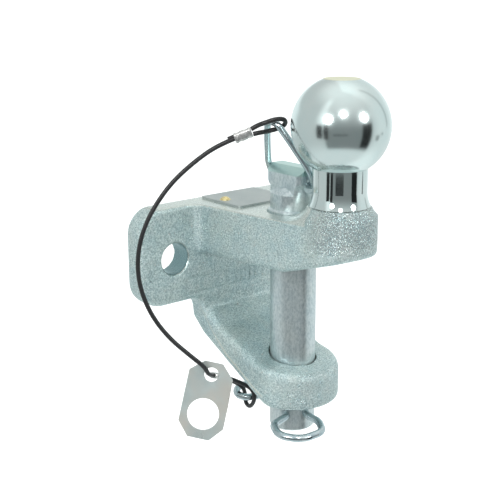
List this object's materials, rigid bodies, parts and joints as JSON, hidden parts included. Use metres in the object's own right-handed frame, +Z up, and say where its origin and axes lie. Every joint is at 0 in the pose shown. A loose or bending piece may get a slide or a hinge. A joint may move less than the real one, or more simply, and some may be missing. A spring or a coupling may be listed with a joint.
{
  "type": "towing hitch with ball and pin",
  "caption": "Towing hitch: bolted flange, arm with a tow ball, and a lower jaw with a lift-out coupling pin, its wire clip and a lanyard.",
  "frame": {"origin": "midway between the two bolt holes, on the rear mounting face of the flange", "axes": "+Z up, +Y towards the vehicle, square to the mounting face, -Y towards the trailer"},
  "size_m": [0.1418, 0.1185, 0.1972],
  "materials": {
    "forging": "zinc plated, rough as forged",
    "ball": "polished",
    "pin": "zinc plated, satin",
    "wire": "zinc plated, bright",
    "plate": "satin",
    "rivet": "bright",
    "cable": "satin black cover",
    "ferrule": "crimped",
    "tag": "zinc plated, satin"
  },
  "bodies": {
    "hitch": {"hitch_body": "forging", "ball_stud": "ball", "id_plate": "plate", "id_plate_rivets": "rivet"},
    "pin": {"coupling_pin": "pin", "lanyard_cable": "cable"},
    "bail": {"pull_bail": "wire", "lanyard_upper_loop": "cable", "upper_ferrule": "ferrule"},
    "clip": {"spring_clip": "wire", "lanyard_lower_loop": "cable", "lower_ferrule": "ferrule"},
    "tag": {"anchor_tag": "tag"}
  },
  "joints": [
    {"name": "pin_lift", "type": "slide", "parent": "hitch", "child": "pin", "axis": [0, 0, 1], "range_m": [0, 0.0025]},
    {"name": "bail_hinge", "type": "hinge", "parent": "pin", "child": "bail", "pos_m": [0, -0.0595, 0.0437], "axis": [0, 1, 0], "range_deg": [-62, 2], "deforming": ["lanyard_cable"]},
    {"name": "clip_slide", "type": "slide", "parent": "pin", "child": "clip", "axis": [-0.5446, -0.8387, 0], "range_m": [0, 0.0015]},
    {"name": "tag_swing", "type": "hinge", "parent": "pin", "child": "tag", "pos_m": [-0.0388, -0.0365, -0.0619], "axis": [-0.6209, -0.7399, 0.2588], "range_deg": [-15, 20]}
  ]
}
